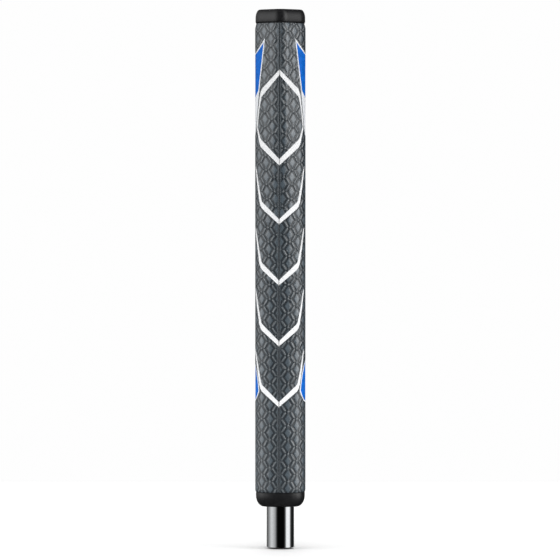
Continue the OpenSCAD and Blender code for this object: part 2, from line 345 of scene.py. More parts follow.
def leather_material():
    """Grey polyurethane: fine grain and speckle, a dull ground darkened by painted shade, and bars,
    studs and pads lightened by painted highlights.
    """
    material, tree = new_material("grey polyurethane")
    points = object_points(tree)
    kind = "ShaderNodeTexVoronoi"
    grain = add(tree, kind, feature="DISTANCE_TO_EDGE", Scale=1.9, Vector=points)
    cells = ramp(tree, grain.outputs["Distance"], [(0.0, 0.0), (0.16, 1.0)])
    fine = noise(tree, points, 5.0)
    broad = noise(tree, points, 0.12, 3.0)
    tone = ramp(tree, broad, [(0.3, (0.037, 0.049, 0.060)), (0.7, (0.048, 0.063, 0.075))])
    speckle = ramp(tree, fine, [(0.35, 0.82), (0.65, 1.15)])
    colour = mixed(tree, "MULTIPLY", 1.0, tone, speckle)
    # Painted highlight: the raised pads are lightened in colour, as where they would catch the
    # light
    pad_highlight = ramp(tree, share_of(tree, "pad"), [(0, 1.0), (1, 1.75)])
    colour = mixed(tree, "MULTIPLY", 1.0, colour, pad_highlight)
    # Painted highlight: the raised bars and studs are mixed towards a pale grey, as where their
    # edges would catch the light
    bar_highlight = ramp(tree, share_of(tree, "bar"), [(0, 0.0), (1, 0.5)])
    colour = mixed(tree, "MIX", bar_highlight, colour, (0.165, 0.185, 0.20))
    ground = share_of(tree, "ground")
    # Painted shade: the sunk ground between the raised parts is darkened towards near black, as
    # shade in the grooves
    dark = ramp(tree, ground, [(0, 0.0), (1, 0.5)])
    set_surface(
        tree,
        Base_Color=mixed(tree, "MIX", dark, colour, (0.004, 0.005, 0.006)),
        Roughness=ramp(tree, fine, [(0.3, 0.25), (0.7, 0.34)]),
        Specular_IOR_Level=ramp(tree, ground, [(0.1, 1.0), (0.8, 0.6)]),
        Normal=bumped(tree, (cells, 0.00003, 0.5), (fine, 0.00002, 0.6)),
        IOR=1.7,
    )
    return material


def rubber_material():
    """Black rubber with a fine sand texture and a faint bloom."""
    material, tree = new_material("black rubber")
    points = object_points(tree)
    fine = noise(tree, points, 3.5)
    broad = noise(tree, points, 0.25, 3.0)
    set_surface(
        tree,
        Base_Color=ramp(tree, broad, [(0.3, (0.008, 0.008, 0.009)), (0.72, (0.014, 0.014, 0.015))]),
        Roughness=ramp(tree, fine, [(0.3, 0.28), (0.7, 0.38)]),
        Normal=bumped(tree, (fine, 0.00003, 0.6)),
    )
    return material


def paint_material(name, low, high, rough, gloss):
    """Satin paint: slight mottling, dull specks and a fine skin texture."""
    material, tree = new_material(name)
    points = object_points(tree)
    fine = noise(tree, points, 2.2)
    tone = ramp(tree, noise(tree, points, 0.35, 3.0), [(0.32, low), (0.6, high)])
    speckle = ramp(tree, fine, [(0.3, 0.88), (0.5, 1.0)])
    set_surface(
        tree,
        Base_Color=mixed(tree, "MULTIPLY", 0.8, tone, speckle),
        Roughness=ramp(tree, fine, [(0.3, rough), (0.7, rough + 0.12)]),
        Normal=bumped(tree, (fine, 0.00002, 0.5)),
        Specular_IOR_Level=gloss,
    )
    return material


def chrome_material():
    """Chrome with faint polishing lines round the tube and slightly uneven tone."""
    material, tree = new_material("polished chrome")
    lines = noise(tree, object_points(tree, (40, 40, 9000)), 1.0, 3.0)
    fine = noise(tree, object_points(tree), 1.2)
    set_surface(
        tree,
        Base_Color=ramp(tree, fine, [(0.3, (0.40, 0.41, 0.42)), (0.7, (0.44, 0.45, 0.46))]),
        Roughness=ramp(tree, lines, [(0.3, 0.05), (0.75, 0.10)]),
        Normal=bumped(tree, (lines, 0.000002, 0.3)),
        Metallic=1.0,
    )
    return material


def seam_material():
    """Dark glue, smeared with paint where a white mark runs over it."""
    material, tree = new_material("seam glue")
    grain = noise(tree, object_points(tree, (900, 900, 900)), 1.5, 6.0, 0.7)
    glue = ramp(tree, grain, [(0.3, (0.012, 0.016, 0.020)), (0.7, (0.030, 0.038, 0.045))])
    smear = ramp(tree, grain, [(0.3, 0.30), (0.7, 0.62)])
    set_surface(
        tree,
        Base_Color=mixed(tree, "MIX", share_of(tree, "painted"), glue, smear),
        Roughness=ramp(tree, grain, [(0.3, 0.5), (0.7, 1.0)]),
        Normal=bumped(tree, (grain, 0.0001, 0.8)),
    )
    return material


def fibre_material(name, low, high, stretch, rough):
    """Paper, felt or foam: fibres or cells between two tones."""
    material, tree = new_material(name)
    fibres = noise(tree, object_points(tree, stretch), 1.5, 6.0, 0.7)
    set_surface(
        tree,
        Base_Color=ramp(tree, fibres, [(0.3, low), (0.7, high)]),
        Roughness=ramp(tree, fibres, [(0.3, rough), (0.7, 1.0)]),
        Normal=bumped(tree, (fibres, 0.0001, 0.8)),
    )
    return material


# ---- painted marks

CHEVRONS = 5
CHEVRON_BASE = 53.05
CHEVRON_PITCH = 32.65
# Share by which the stations spread on the seam's +X side and close up on the other
LEAN = 0.033
# Longest step between the stations of an outline
STATION_STEP = 0.8
# Edges of the white bands, as tables of (station from the seam, height above the band's tip)
CHEVRON_LOW = [
    [0, 0.85], [9.3, 9.05], [10.2, 10.5], [10.85, 12.6], [11.15, 15], [11.6, 18.2],
    [12.1, 22], [12.5, 26], [13, 31.4],
]
CHEVRON_HIGH = [
    [0, 3.6], [9.3, 12.7], [9.8, 13.9], [10.3, 16.7], [10.8, 19.2], [11.35, 22.4],
    [11.9, 26], [12.4, 29.4], [13, 32],
]
JOINED_LOW = [[0, -0.3], [9.9, 9.15], [10.5, 10.15], [11.1, 12.25], [12.5, 19.95]]
JOINED_HIGH = [[0, 3], [9.9, 13.35], [10.5, 14.6], [11.1, 16.6], [12, 20.2], [12.5, 20.2]]
PEAK_LOW = [[0, -2.5], [9.9, -14], [10.4, -16.5], [11.15, -20.8], [12, -30.05], [12.5, -30.05]]
PEAK_HIGH = [[0, 0.4], [9.8, -9.8], [10.6, -12.3], [11.1, -15.6], [12.2, -25.4], [12.5, -29.75]]
PEAK_Z = MOUTH_Z + 234
# Edges of the side panels up to the side, and the heights of their tips at the side's middle
UPPER_Z = MOUTH_Z + 250.6
UPPER_LOW = [[8.15, -0.4], [9.15, -9.5], [10, -17], [11.25, -27.5], [13.4, -31.8]]
UPPER_TAIL = UPPER_LOW[:4] + [[12.1, -38], [12.8, -46], [13.2, -51]]
UPPER_HIGH = [[8.15, 0.5], [12.9, -6.6]]
UPPER_TIPS, TAIL_TIPS = (-47, -15), (-56, -15)
LOWER_Z = MOUTH_Z + 62.7
LOWER_LOW = [[10.9, -0.4], [11.8, -3.1], [12.9, -5.6]]
LOWER_HIGH = [[10.9, 0.4], [11.4, 5], [12.2, 9.8], [13.1, 14]]
LOWER_TIPS = (-11, 31)
# Width of the pale border round a blue panel
BORDER = 0.75


def chevron_z(index):
    """Height of a chevron's tip. Chevron 1 is the highest."""
    return MOUTH_Z + CHEVRON_BASE + (CHEVRONS - index) * CHEVRON_PITCH


def table_at(table, q):
    """Height that a table gives at stations q."""
    return np.interp(q, [p[0] for p in table], [p[1] for p in table])


def dense(low, high, first, last):
    """Stations across a mark: even steps and the knots of its two tables."""
    knots = [p[0] for p in low + high if first < p[0] < last]
    count = max(2, math.ceil((last - first) / STATION_STEP) + 1)
    steps = np.linspace(first, last, count)
    return np.unique(np.round(np.concatenate([steps, knots]), 3))


def outline(side, z0, low, high, first, last):
    """Closed outline of a mark on one side, as (w, z) points in the unrolled skin."""
    q = dense(low, high, first, last)
    z_low, z_high = z0 + table_at(low, q), z0 + table_at(high, q)
    share = np.linspace(0, 1, 5)[1:-1]
    rise = z_low[-1] + (z_high[-1] - z_low[-1]) * share
    fall = z_high[0] + (z_low[0] - z_high[0]) * share
    q_all = np.concatenate([q, q[-1] + 0 * share, q[::-1], q[0] + 0 * share])
    z_all = np.concatenate([z_low, rise, z_high[::-1], fall])
    station = side * q_all * (1 + side * LEAN) + drift(z_all)
    arc = arc_of_station(np.abs(station), z_all)
    w = half_girth(z_all) - arc * np.where(side * station < 0, -1.0, 1.0)
    return columns(side * w, z_all)


def rounded(ring):
    """Outline with each corner cut off once, so that it is slightly round."""
    after = np.roll(ring, -1, axis=0)
    cut = np.empty((2 * len(ring), 2))
    cut[0::2] = ring * 0.75 + after * 0.25
    cut[1::2] = ring * 0.25 + after * 0.75
    return cut


def side_middle(z):
    """Station of the middle of the side's straight stretch."""
    ends = section(np.float64(z))[-1]
    return HALF_W + (ends[3] - ends[2]) / 2


def mirrored(table, middle, tip):
    """Table carried on to a tip at the side's middle, and mirrored about it."""
    full = table + [[middle, tip]]
    return full + [[2 * middle - p[0], p[1]] for p in reversed(table)]


def panel_outline(side, z0, low, high, tips):
    """Outline of a panel that wraps round a side, with its heights at the middle as tips."""
    middle = side_middle(z0)
    low, high = mirrored(low, middle, tips[0]), mirrored(high, middle, tips[1])
    return rounded(outline(side, z0, low, high, low[0][0], 2 * middle - low[0][0]))


def white_bands():
    """Every white band as (name, height of its tip, lower edge, upper edge)."""
    bands = [
        ("peak_stripe", PEAK_Z, PEAK_LOW, PEAK_HIGH),
        ("chevron_1", chevron_z(1), JOINED_LOW, JOINED_HIGH),
    ]
    for i in range(2, CHEVRONS + 1):
        bands.append((f"chevron_{i}", chevron_z(i), CHEVRON_LOW, CHEVRON_HIGH))
    return bands


def band_halves(z0, low, high):
    """Outlines of the two halves of a band that starts at the seam."""
    last = low[-1][0]
    return [rounded(outline(side, z0, low, high, SEAM_HALF, last)) for side in (-1, 1)]


def shrunk(ring, reach):
    """Ring moved inwards by reach, without the loops that its corners would make."""
    fine = np.concatenate([ring * (1 - t) + np.roll(ring, -1, axis=0) * t for t in (0, 0.5)], 1)
    fine = fine.reshape(-1, 2)
    moved = shifted(fine, -reach)
    return moved[ring_distance(moved, ring, 2 * reach) > 0.98 * reach]


def side_panels(side):
    """Outlines of the side panels as (name, base outline, blue outline)."""
    upper = panel_outline(side, UPPER_Z, UPPER_LOW, UPPER_HIGH, UPPER_TIPS)
    tailed = panel_outline(side, UPPER_Z, UPPER_TAIL, UPPER_HIGH, TAIL_TIPS)
    lower = panel_outline(side, LOWER_Z, LOWER_LOW, LOWER_HIGH, LOWER_TIPS)
    return (
        ("upper_panel", tailed, shrunk(upper, BORDER)),
        ("lower_panel", lower, shrunk(lower, BORDER)),
    )


def mark_list(paints):
    """Every mark as (CAD node, slot, material, outlines). A later one lies on an earlier one."""
    white, pale, blue = paints
    marks = [
        (name, "white_paint", white, band_halves(z0, low, high))
        for name, z0, low, high in white_bands()
    ]
    for side, word in ((-1, "left"), (1, "right")):
        for name, base, top in side_panels(side):
            marks.append((f"{name}_base_{word}", "pale_paint", pale, [base]))
            marks.append((f"{name}_blue_{word}", "blue_paint", blue, [top]))
    return marks


# ---- embossed pattern

# Sideways shift of the sheet's pattern from the middle of the front
SHEET_SHIFT = 0.75
# Distance between pad columns on the back, and on the front where they lie closer
COLUMN_PITCH = 4.95
FRONT_PITCH = 4.66
FRONT_COLUMNS = 5
# Pad columns on each side of the front's middle
COLUMNS = 11
# Rows: distance between them, its growth with each row, and the height of row 0
ROW_PITCH = 7.655
ROW_GROWTH = 0.006
ROW_ZERO_Z = 160.57
# The raised parts, as sideways and upward distances from a pad's centre: the pad itself, a
# stud between the tips of stacked pads, and the centre line of the bar between two pads that
# lie aslant, by its ends and middle
PAD_HALF = np.array([2.1, 3.1])
STUD_HALF = np.array([0.7, 0.8])
STUD_RISE = 3.83
BAR = np.array([[1.65, 3.25], [2.475, 1.915], [3.3, 0.58]])
BAR_HALF = 0.5
# Corners and edge middles of a lozenge of unit half width and height
LOZENGE = np.array(
    [[1, 0], [0.5, 0.5], [0, 1], [-0.5, 0.5], [-1, 0], [-0.5, -0.5], [0, -1], [0.5, -0.5]]
)
# Distance past the skin's ends at which pads still reach it
PAD_REACH = 4
# Keeps a place right on a row from rounding to the two rows beside it
NEARLY = 0.999
# Share of a raised part's half width that its top takes
TOP_SHARE = 0.7
GROUND_DEPTH = 0.13


def column_w(c):
    """Place of pad column c, which is signed and counts from the front's middle."""
    size = np.abs(c)
    inner = np.minimum(size, FRONT_COLUMNS) * FRONT_PITCH
    return np.sign(c) * (inner + np.maximum(size - FRONT_COLUMNS, 0) * COLUMN_PITCH) + SHEET_SHIFT


def column_of(w):
    """Column number at w, with its fraction."""
    v = np.abs(w - SHEET_SHIFT)
    inner = FRONT_COLUMNS * FRONT_PITCH
    size = np.where(v < inner, v / FRONT_PITCH, FRONT_COLUMNS + (v - inner) / COLUMN_PITCH)
    return np.sign(w - SHEET_SHIFT) * size


def row_z(n):
    """Height of row n."""
    return ROW_ZERO_Z + ROW_PITCH * n + ROW_GROWTH * n * n


def row_of(z):
    """Row number at height z, with its fraction."""
    b, c = ROW_PITCH, ROW_ZERO_Z - z
    return (-b + np.sqrt(b * b - 4 * ROW_GROWTH * c)) / (2 * ROW_GROWTH)


def pads():
    """Every pad of the lattice as (column, row). Odd columns sit half a row higher."""
    first, last = int(row_of(SKIN_Z0)) - 2, int(row_of(SKIN_Z1)) + 2
    columns, rows = range(-COLUMNS, COLUMNS + 1), range(first, last + 1)
    return [(c, n + 0.5 * (c % 2)) for c in columns for n in rows]


def segment_distance(p, a, b):
    """Distance from points p to the segment from a to b, all of shape (..., 2)."""
    along = b - a
    t = np.clip(((p - a) * along).sum(-1) / (along * along).sum(-1), 0, 1)
    return np.linalg.norm(p - a - t[..., None] * along, axis=-1)


def nearby_pads(w, z):
    """For each (w, z) point, its distances sideways and upwards from the pads around it."""
    column, row = np.round(column_of(w)), row_of(z)
    for dc in (-1, 0, 1):
        c = column + dc
        half = 0.5 * (np.abs(c) % 2)
        for dn in (-0.5, 0.5):
            n = np.round(row - half + dn * NEARLY) + half
            yield np.abs(w - column_w(c)), np.abs(z - row_z(n))


def risen(away):
    """Share of full height, by distance from a raised part's middle over its half width."""
    return soft_step((1 - away) / (1 - TOP_SHARE))


def relief(w, z):
    """Shares of the ground, of a bar or stud and of a pad at each (w, z) point."""
    pad, bar = np.zeros(len(w)), np.zeros(len(w))
    # Each pad makes the nearer half of its bars
    for across, up in nearby_pads(w, z):
        pad = np.maximum(pad, risen(across / PAD_HALF[0] + up / PAD_HALF[1]))
        off = np.abs(up - STUD_RISE)
        bar = np.maximum(bar, risen(across / STUD_HALF[0] + off / STUD_HALF[1]))
        away = segment_distance(columns(across, up), BAR[0], BAR[1])
        bar = np.maximum(bar, risen(away / BAR_HALF))
    return 1 - np.maximum(pad, bar), bar, pad


def bar_ring(line, reach):
    """Closed ring at a distance round a bar's centre line, with pointed ends."""
    step = np.diff(line, axis=0)
    step /= np.linalg.norm(step, axis=1)[:, None]
    tangent = np.concatenate([step[:1], step[:-1] + step[1:], step[-1:]])
    tangent /= np.linalg.norm(tangent, axis=1)[:, None]
    inner = np.concatenate([[1.0], (tangent[1:-1] * step[1:]).sum(1), [1.0]])
    normal = columns(-tangent[:, 1], tangent[:, 0]) * (reach / inner)[:, None]
    left, right = line + normal, (line - normal)[::-1]
    tips = line[-1] + step[-1] * reach, line[0] - step[0] * reach
    return np.concatenate([left, [tips[0]], right, [tips[1]]])


# ---- the unrolled skin


class Plan:
    """Points and kept edges of the unrolled skin, before it is triangulated."""

    def __init__(self):
        self.points, self.edges, self.count = [], [], 0

    def add(self, points, closed):
        """Adds a line of points, or a ring of them if closed, whose edges are kept."""
        points = np.asarray(points, float)
        n = len(points)
        links = [[self.count + i, self.count + i + 1] for i in range(n - 1)]
        if closed:
            links.append([self.count + n - 1, self.count])
        self.points.append(points)
        self.edges += links
        self.count += n

    def scatter(self, points):
        """Adds loose points."""
        self.points.append(np.asarray(points, float))
        self.count += len(points)

    def triangles(self):
        """The plan's points and triangles, with every kept edge in them."""
        flat = [Vector(p) for p in np.concatenate(self.points)]
        made = delaunay_2d_cdt(flat, self.edges, [], 0, 1e-4)
        return np.array([[v[0], v[1]] for v in made[0]]), np.array(made[2])


def right_edge(z):
    """Place w of the sheet's edge at positive w."""
    return half_girth(z) - drift(z) - SEAM_HALF


def left_edge(z):
    """Place w of the sheet's edge at negative w."""
    return -half_girth(z) - drift(z) + SEAM_HALF


# Distances of the rails from the sheet's long edges, and the skin's height at each of them
SEAM_RAILS = (0, 0.06, 0.15, 0.27, 0.45)
SEAM_LIP = (-0.16, -0.08, -0.01, 0.035, 0.0)
# Distances of the rails from the sheet's two ends
END_RAILS = (0, 0.25, 0.6, 1.1, 1.7, 2.4)
SEAM_POINTS = 252
END_POINTS = 110
# More than half the sheet's width
SHEET_REACH = 52


def add_border(plan):
    """The sheet's outline, and rails beside it where the skin turns down."""
    z = np.linspace(SKIN_Z0, SKIN_Z1, SEAM_POINTS)
    for e in SEAM_RAILS:
        plan.add(columns(right_edge(z) - e, z), False)
        plan.add(columns(left_edge(z) + e, z), False)
    for e in END_RAILS:
        for at in (SKIN_Z0 + e, SKIN_Z1 - e):
            w = np.linspace(left_edge(at), right_edge(at), END_POINTS)
            plan.add(columns(w, at), False)


def grid(step_w, step_z, margin=0.6):
    """Points of a staggered grid inside the sheet."""
    rows = []
    for k, z in enumerate(np.arange(SKIN_Z0 + step_z, SKIN_Z1 - margin, step_z)):
        w = np.arange(-SHEET_REACH, SHEET_REACH, step_w) + (k % 2) * step_w / 2
        w = w[(w > left_edge(z) + margin) & (w < right_edge(z) - margin)]
        rows.append(columns(w, z))
    return np.concatenate(rows)


def inside(points, ring):
    """Which points lie inside a closed ring."""
    result = np.zeros(len(points), bool)
    near = np.flatnonzero(((points > ring.min(0)) & (points < ring.max(0))).all(axis=1))
    if not len(near):
        return result
    x, y = points[near, 0][:, None], points[near, 1][:, None]
    a, b = ring, np.roll(ring, -1, axis=0)
    crosses = (a[:, 1] > y) != (b[:, 1] > y)
    rise = np.where(b[:, 1] == a[:, 1], 1.0, b[:, 1] - a[:, 1])
    at = a[:, 0] + (y - a[:, 1]) / rise * (b[:, 0] - a[:, 0])
    result[near] = ((crosses & (x < at)).sum(axis=1) % 2).astype(bool)
    return result


def ring_distance(points, ring, reach):
    """Distance from points to a closed ring, up to a reach."""
    best = np.full(len(points), reach)
    low, high = ring.min(0) - reach, ring.max(0) + reach
    near = np.flatnonzero(((points > low) & (points < high)).all(axis=1))
    for a, b in zip(ring, np.roll(ring, -1, axis=0)):
        best[near] = np.minimum(best[near], segment_distance(points[near], a, b))
    return best


def shifted(ring, reach):
    """Ring grown by reach along its own normals, or shrunk if reach is negative."""
    after, before = np.roll(ring, -1, axis=0), np.roll(ring, 1, axis=0)
    turn = np.sign((ring[:, 0] * after[:, 1] - ring[:, 1] * after[:, 0]).sum())
    tangent = (after - before) / np.linalg.norm(after - before, axis=1)[:, None]
    return ring + columns(tangent[:, 1], -tangent[:, 0]) * turn * reach


# Depth that a white or pale coat is pressed in, and the width over which it goes down
RECESS = 0.07
RECESS_EDGE = 0.12
# Distance from a mark or from the seam's lip over which the emboss comes up
FADE = 0.3
SEAM_LIP_WIDTH = 0.3
# Distance up to which the marks' edges are measured
MARK_REACH = 1.0
# Depth of the beds that the marks lie in
BED_DEPTH = 0.3


def add_part(plan, ring):
    """Adds the outline of a raised part of the emboss, where it lies near the sheet."""
    w, z = ring[:, 0], ring[:, 1]
    on_sheet = (w < right_edge(z) + 0.5) & (w > left_edge(z) - 0.5)
    on_sheet &= (z > SKIN_Z0 - 1) & (z < SKIN_Z1 + 1)
    if on_sheet.any():
        plan.add(ring, True)


def add_pad(plan, centre):
    """Adds the outlines of a pad, of the stud above it and of the bars on both sides."""
    for share in (TOP_SHARE, 1.0):
        add_part(plan, centre + LOZENGE * PAD_HALF * share)
        add_part(plan, centre + (0, STUD_RISE) + LOZENGE * STUD_HALF * share)
        for side in (-1, 1):
            add_part(plan, bar_ring(centre + BAR * (side, 1), BAR_HALF * share))


def skin_plan(rings):
    """Triangulates the unrolled skin with its raised parts, marks and rails."""
    plan = Plan()
    add_border(plan)
    for c, n in pads():
        centre = np.array([column_w(c), row_z(n)])
        if SKIN_Z0 - PAD_REACH < centre[1] < SKIN_Z1 + PAD_REACH:
            add_pad(plan, centre)
    for ring in rings:
        plan.add(ring, True)
        for reach in (RECESS_EDGE, -RECESS_EDGE, FADE):
            plan.add(shifted(ring, reach), True)
    plan.scatter(grid(1.1, 1.1))
    return plan.triangles()


def seam_lip(w, z):
    """Height of the skin by the seam, where its cut edge turns down, and the distance from it."""
    off = np.abs(signed_arc(w, z) - drift(z)) - SEAM_HALF
    return np.interp(off, SEAM_RAILS, SEAM_LIP), off


def heights(flat, rings):
    """Height above the section at each flat point, and its shares of the relief's parts."""
    w, z = flat[:, 0], flat[:, 1]
    lip, off = seam_lip(w, z)
    clear, within = np.full(len(flat), MARK_REACH), np.zeros(len(flat))
    for ring in rings:
        distance = ring_distance(flat, ring, MARK_REACH)
        is_in = inside(flat, ring) & (distance > 1e-3)
        clear = np.minimum(clear, np.where(is_in, 0.0, distance))
        within = np.maximum(within, np.where(is_in, distance, 0.0))
    fade = np.clip(clear / FADE, 0, 1) * np.clip((off - SEAM_LIP_WIDTH) / FADE, 0, 1)
    ground, bar, pad = (share * fade for share in relief(w, z))
    recess = RECESS * np.clip(within / RECESS_EDGE, 0, 1)
    height = lip - GROUND_DEPTH * ground - recess - end_roll(z)
    return height, {"ground": ground, "bar": bar, "pad": pad}


def border_edges(triangles, size):
    """Directed edges that only one of the triangles has."""
    edges = np.concatenate([triangles[:, [0, 1]], triangles[:, [1, 2]], triangles[:, [2, 0]]])
    return edges[~np.isin(edge_keys(edges, size), edge_keys(edges[:, ::-1], size))]


def walls(edges, top, bottom):
    """Quads from a border's top points down to its bottom points."""
    a, b = edges[:, 0], edges[:, 1]
    return np.stack([top[b], top[a], bottom[a], bottom[b]], axis=1)


def compact(points, faces, sharp, attributes):
    """Drops the points that no face uses, and numbers the others anew."""
    used = np.unique(np.concatenate([np.concatenate(f) if len(f) else [] for f in faces]))
    used = used.astype(np.int64)
    number = np.full(len(points), -1)
    number[used] = np.arange(len(used))
    lists = [face for block in faces for face in number[np.asarray(block)].tolist()]
    return points[used], lists, number[sharp], {k: v[used] for k, v in attributes.items()}


def on_surface(flat, height):
    """Flat points wrapped round the grip at a height above its section."""
    return around(signed_arc(flat[:, 0], flat[:, 1]), flat[:, 1], -height)


def label_triangles(flat, triangles, marks):
    """For each triangle -1 outside the sheet, 0 for skin, or its mark's number from 1."""
    centre = flat[triangles].mean(axis=1)
    w, z = centre.T
    labels = np.zeros(len(triangles), int)
    for number, mark in enumerate(marks, 1):
        for ring in mark[3]:
            labels[inside(centre, ring)] = number
    out = (w > right_edge(z)) | (w < left_edge(z)) | (z < SKIN_Z0) | (z > SKIN_Z1)
    labels[out] = -1
    return labels


def build_mark(mark, flat, height, own):
    """A mark's own closed plate of paint, let into the skin."""
    name, slot, material, _ = mark
    size = len(flat)
    points = np.concatenate([on_surface(flat, height), on_surface(flat, bed_height(flat))])
    top, bottom = np.arange(size), np.arange(size) + size
    edge = border_edges(own, size)
    faces = [own, own[:, ::-1] + size, walls(edge, top, bottom)]
    sharp = np.concatenate([edge, edge + size])
    points, faces, sharp, _ = compact(points, faces, sharp, {})
    place(make_mesh(name + "_paint", points, faces, material, sharp), name)


def bed_height(flat):
    """Height of the beds that the marks lie in."""
    lip, _ = seam_lip(flat[:, 0], flat[:, 1])
    return lip - BED_DEPTH - end_roll(flat[:, 1])


def inner_sheet(border):
    """Triangulates the skin's inner face from the outer sheet's own border points."""
    plan = Plan()
    plan.scatter(border)
    n = len(border)
    plan.edges = [[i, (i + 1) % n] for i in range(n)]
    plan.scatter(grid(1.6, 4.0, 1.2))
    return plan.triangles()


def ordered_loop(edges):
    """Border edges put in order, as one loop of point numbers."""
    follow = dict(edges.tolist())
    loop = [edges[0, 0]]
    while follow[loop[-1]] != loop[0]:
        loop.append(follow[loop[-1]])
    return np.array(loop)


def build_skin(flat, height, shares, triangles, labels, material):
    """The skin as one closed sheet: face, beds of the marks, edges and inner face."""
    size = len(flat)
    skin, beds = triangles[labels == 0], triangles[labels > 0]
    outer = border_edges(triangles[labels >= 0], size)
    loop = ordered_loop(outer)
    flat_in, tri_in = inner_sheet(flat[loop])
    w, z = flat_in[tri_in].mean(axis=1).T
    tri_in = tri_in[(w < right_edge(z)) & (w > left_edge(z))]
    inner = on_surface(flat_in, np.full(len(flat_in), -SKIN_T))
    bed_points = on_surface(flat, bed_height(flat))
    points = np.concatenate([on_surface(flat, height), bed_points, inner])
    top, bed = np.arange(size), np.arange(size) + size
    lowest = np.full(size, -1)
    lowest[loop] = np.arange(len(loop)) + 2 * size
    rim = edge_keys(outer, size)
    skin_edge, bed_edge = border_edges(skin, size), border_edges(beds, size)
    skin_out = skin_edge[np.isin(edge_keys(skin_edge, size), rim)]
    on_rim = np.isin(edge_keys(bed_edge, size), rim)
    bed_out, bed_in = bed_edge[on_rim], bed_edge[~on_rim]
    faces = [
        skin,
        beds + size,
        tri_in[:, ::-1] + 2 * size,
        walls(skin_out, top, lowest),
        walls(bed_out, bed, lowest),
        walls(bed_in, bed, top),
    ]
    sharp = np.concatenate([skin_edge, bed_edge + size])
    unseen = np.zeros(size + len(flat_in))
    layers = {label: np.concatenate([share, unseen]) for label, share in shares.items()}
    points, faces, sharp, layers = compact(points, faces, sharp, layers)
    obj = make_mesh("wrapped_skin", points, faces, material, sharp, layers)
    place(obj, "polyurethane_skin")


def oriented(flat, triangles):
    """Triangles turned so that they face outwards once wrapped round the grip."""
    a, b, c = (flat[triangles[:, i]] for i in range(3))
    turn = (b[:, 0] - a[:, 0]) * (c[:, 1] - a[:, 1]) - (b[:, 1] - a[:, 1]) * (c[:, 0] - a[:, 0])
    triangles[turn > 0] = triangles[turn > 0][:, ::-1]
    return triangles


def build_sheet(skin_material, paints):
    """The skin and its marks, cut from one triangulation so that their edges meet."""
    marks = mark_list(paints)
    rings = [ring for mark in marks for ring in mark[3]]
    # Blue coats lie within their pale ones, so they have no recess of their own
    bases = [ring for mark in marks if "_blue_" not in mark[0] for ring in mark[3]]
    flat, triangles = skin_plan(rings)
    triangles = oriented(flat, triangles)
    height, shares = heights(flat, bases)
    labels = label_triangles(flat, triangles, marks)
    build_skin(flat, height, shares, triangles, labels, skin_material)
    for number, mark in enumerate(marks, 1):
        build_mark(mark, flat, height, triangles[labels == number])


# ---- seam, caps and shaft

# Height between the points of the seam, and depth of its edges below the skin
SEAM_STEP = 0.38
SEAM_DEPTH = 0.17
# Stitch marks along the seam: their distance, and the depth and half length of each pit
STITCH_PITCH = 3.8
PIT_DEPTH = 0.22
PIT_HALF = 0.45
# Points round a cap, and rings over its rounding
RING_POINTS = 208
EDGE_STEPS = 14
# Height and width of a cap's rounding, inset of its side and inset at its joint
BUTT_EDGE = (4.7, 2.3, 0.2, 1.0)
MOUTH_EDGE = (6.0, 4.2, 0.35, 0.8)
# Rings of a cap next to its joint, as (distance from it, share of the joint's inset)
JOINT_RINGS = ((0.25, 0.42), (0.6, 0.16), (1.0, 0.0))
# Gap between the mouth cap and the shaft
SLIP = 0.03
SHAFT_POINTS = 160
# Size of the broken edges at the shaft's cut end
BROKEN_EDGE = 0.12


def painted_heights(z):
    """Share of white paint on the seam at heights z: 1 where a white mark meets it."""
    share = np.zeros(len(z))
    for _, z0, low, high in white_bands():
        share[(z > z0 + low[0][1]) & (z < z0 + high[0][1])] = 1.0
    return share


def build_seam(material):
    """Glue line between the skin's two edges, with a small pit at each stitch mark."""
    z = np.append(np.arange(SKIN_Z0, SKIN_Z1, SEAM_STEP), SKIN_Z1)
    near = np.abs((z - SKIN_Z0) % STITCH_PITCH - STITCH_PITCH / 2)
    pits = PIT_DEPTH * np.exp(-((near / PIT_HALF) ** 2))
    # Five points across the top from one edge to the other, and three back along the bottom
    across = np.array([-0.3, -0.16, 0, 0.16, 0.3, 0.3, 0, -0.3])
    n = len(across)
    rings = []
    for height, pit in zip(z, pits):
        dip = np.array([0.0, 0.04, 0.06 + pit, 0.04, 0.0])
        top = dip + SEAM_DEPTH + float(end_roll(height))
        inset = np.concatenate([top, [CORE_INSET] * 3])
        rings.append(around(across + float(drift(height)), np.full(n, height), inset))
    last = (len(rings) - 1) * n
    faces = [list(range(n))[::-1], [last + i for i in range(n)]]
    faces += ring_faces(n, len(rings), False)
    sharp = [[j * n + i, (j + 1) * n + i] for j in range(len(rings) - 1) for i in (0, 4)]
    layers = {"painted": np.repeat(painted_heights(z), n)}
    seam = make_mesh("seam_line", np.concatenate(rings), faces, material, sharp, layers)
    place(seam, "seam_bead")


def section_ring(z, inset):
    """Ring of the section at height z, inset from it, with points evenly spaced round it."""
    at = np.full(RING_POINTS, float(z))
    arc = (np.arange(RING_POINTS) / RING_POINTS * 2 - 1) * half_girth(at)
    return around(arc, at, np.full(RING_POINTS, float(inset)))


def circle_ring(z, radius, like):
    """Circle whose points stand in the directions of another ring's."""
    turn = np.arctan2(like[:, 1], like[:, 0])
    return columns(radius * np.cos(turn), radius * np.sin(turn), z)


def between(ring, other, share):
    """Ring at a share of the way from one ring to another."""
    return ring + (other - ring) * share


def cap_outside(z_end, z_joint, edge_h, edge_w, lip, joint):
    """Rings of a cap's outside, from its joint with the skin to its end face."""
    away = 1 if z_end > z_joint else -1
    rings = [section_ring(z_joint, joint)]
    for step, share in JOINT_RINGS:
        rings.append(section_ring(z_joint + away * step, lip + (joint - lip) * share))
    for i in range(EDGE_STEPS + 1):
        a = math.pi / 2 * i / EDGE_STEPS
        height = z_end - away * edge_h * (1 - math.sin(a))
        rings.append(section_ring(height, lip + edge_w * (1 - math.cos(a))))
    return rings


def place_cap(node, rings, material):
    """Makes a cap from its rings, sharp at its joint and on its inner rings."""
    last = len(rings) - 1
    cap = ring_stack(node + "_rubber", rings, material, [0, *range(last - 4, last + 1)])
    place(cap, node)


